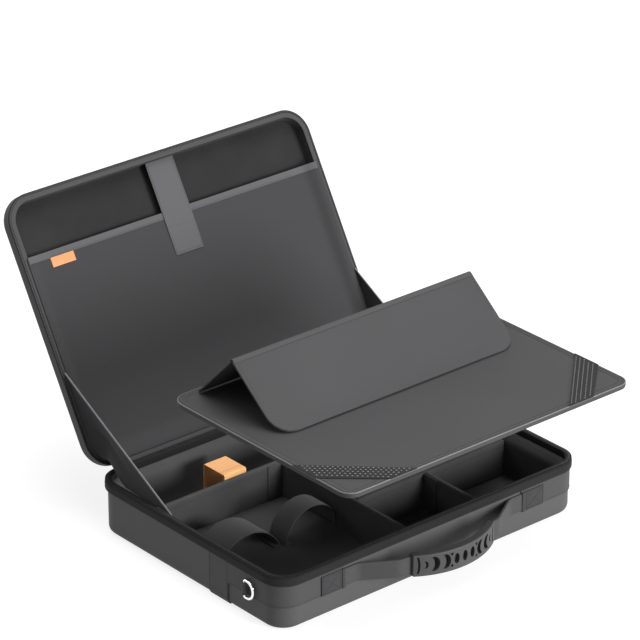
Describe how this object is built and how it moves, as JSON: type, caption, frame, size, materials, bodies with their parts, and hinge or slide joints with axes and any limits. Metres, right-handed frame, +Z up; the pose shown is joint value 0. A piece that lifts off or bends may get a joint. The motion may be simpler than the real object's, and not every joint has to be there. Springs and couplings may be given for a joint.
{
  "type": "laptop hard case",
  "caption": "Zipped hard case for a laptop, opened: padded tray with dividers and holding loops, hinged lid with a pocket, and a laptop board with a folding stand.",
  "frame": {"origin": "middle of the tray's flat underside, which rests on the table", "axes": "+X to the case's right, +Y from the handle towards the hinge, +Z up"},
  "size_m": [0.4249, 0.547, 0.3211],
  "materials": {
    "moulded_cover": "matte",
    "rim_cloth": "matte",
    "lining_cloth": "matte",
    "zipper_cloth": "matte",
    "zipper_coil": "satin",
    "webbing": "matte",
    "orange_elastic": "matte",
    "orange_label": "satin",
    "steel": "polished",
    "grip_rubber": "matte",
    "pocket_cloth": "matte",
    "strap_cloth": "matte",
    "board_cover": "matte",
    "dotted_elastic": "matte",
    "slider_metal": "satin"
  },
  "bodies": {
    "tray": {"base_shell": "moulded_cover", "base_lining": "lining_cloth", "base_binding": "rim_cloth", "base_zipper_tape": "zipper_cloth", "base_zipper_coil": "zipper_coil", "divider_long": "lining_cloth", "divider_left": "lining_cloth", "divider_mid": "lining_cloth", "power_bank_loop": "orange_elastic", "charger_loop": "webbing", "cable_loop": "webbing", "webbing_band_left": "webbing", "webbing_band_right": "webbing", "side_band_left": "webbing", "side_band_right": "webbing", "handle_anchor_left": "webbing", "handle_anchor_right": "webbing", "d_ring_loop_left": "webbing", "d_ring_loop_right": "webbing", "hinge_tape": "rim_cloth", "gusset_left": "pocket_cloth", "gusset_right": "pocket_cloth"},
    "sliding_divider": {"divider_right": "lining_cloth"},
    "lid": {"lid_shell": "moulded_cover", "lid_lining": "lining_cloth", "lid_binding": "rim_cloth", "lid_zipper_tape": "zipper_cloth", "lid_zipper_coil": "zipper_coil", "pocket_panel": "pocket_cloth", "pocket_binding": "strap_cloth", "closure_strap": "strap_cloth", "label_tab": "orange_label"},
    "board": {"board_core": "board_cover", "board_top_panel": "board_cover", "board_binding": "rim_cloth", "corner_elastic_left": "dotted_elastic", "corner_elastic_right": "dotted_elastic"},
    "stand_leg": {"stand_leg": "board_cover"},
    "stand_flap": {"stand_flap": "board_cover"},
    "handle": {"handle_grip": "grip_rubber", "handle_strap_left": "webbing", "handle_strap_right": "webbing"},
    "ring_left": {"d_ring_left": "steel"},
    "ring_right": {"d_ring_right": "steel"},
    "slider": {"zipper_slider": "slider_metal"},
    "pull": {"zipper_pull": "slider_metal"}
  },
  "joints": [
    {"name": "lid_hinge", "type": "hinge", "parent": "tray", "child": "lid", "pos_m": [0, 0.1507, 0.063], "axis": [-1, 0, 0], "range_deg": [-120.2, 0], "deforming": ["gusset_left", "gusset_right"]},
    {"name": "board_lift", "type": "slide", "parent": "tray", "child": "board", "axis": [0, -0.6065, 0.7951], "range_m": [-0.16175, 0]},
    {"name": "stand_leg_fold", "type": "hinge", "parent": "board", "child": "stand_leg", "pos_m": [0, 0.032, 0.18865], "axis": [1, 0, 0], "range_deg": [0, 45.7]},
    {"name": "stand_flap_fold", "type": "hinge", "parent": "stand_leg", "child": "stand_flap", "pos_m": [0, -0.0215, 0.2435], "axis": [1, 0, 0], "range_deg": [-84.5, 0]},
    {"name": "handle_tilt", "type": "hinge", "parent": "tray", "child": "handle", "pos_m": [0, -0.1479, 0.0373], "axis": [1, 0, 0], "range_deg": [-40, 35], "deforming": ["handle_strap_left", "handle_strap_right"]},
    {"name": "d_ring_left_swing", "type": "hinge", "parent": "tray", "child": "ring_left", "pos_m": [-0.2085, -0.0968, 0.0344], "axis": [0, 0, -1], "range_deg": [0, 150]},
    {"name": "d_ring_right_swing", "type": "hinge", "parent": "tray", "child": "ring_right", "pos_m": [0.2085, -0.0968, 0.0344], "axis": [0, 0, 1], "range_deg": [0, 150]},
    {"name": "zipper_slide", "type": "slide", "parent": "tray", "child": "slider", "axis": [0, -1, 0], "range_m": [0, 0.15]},
    {"name": "zipper_pull_swing", "type": "hinge", "parent": "slider", "child": "pull", "pos_m": [0.2112, 0.1, 0.058], "axis": [0, -1, 0], "range_deg": [0, 150]},
    {"name": "divider_right_shift", "type": "slide", "parent": "tray", "child": "sliding_divider", "axis": [1, 0, 0], "range_m": [-0.06, 0.08]}
  ],
  "couplings": [
    {"joint": "board_lift", "follows": "lid_hinge", "m_per_rad": 0.077092},
    {"joint": "stand_leg_fold", "follows": "lid_hinge", "ratio": -0.38016},
    {"joint": "stand_flap_fold", "follows": "lid_hinge", "ratio": 0.70292}
  ]
}
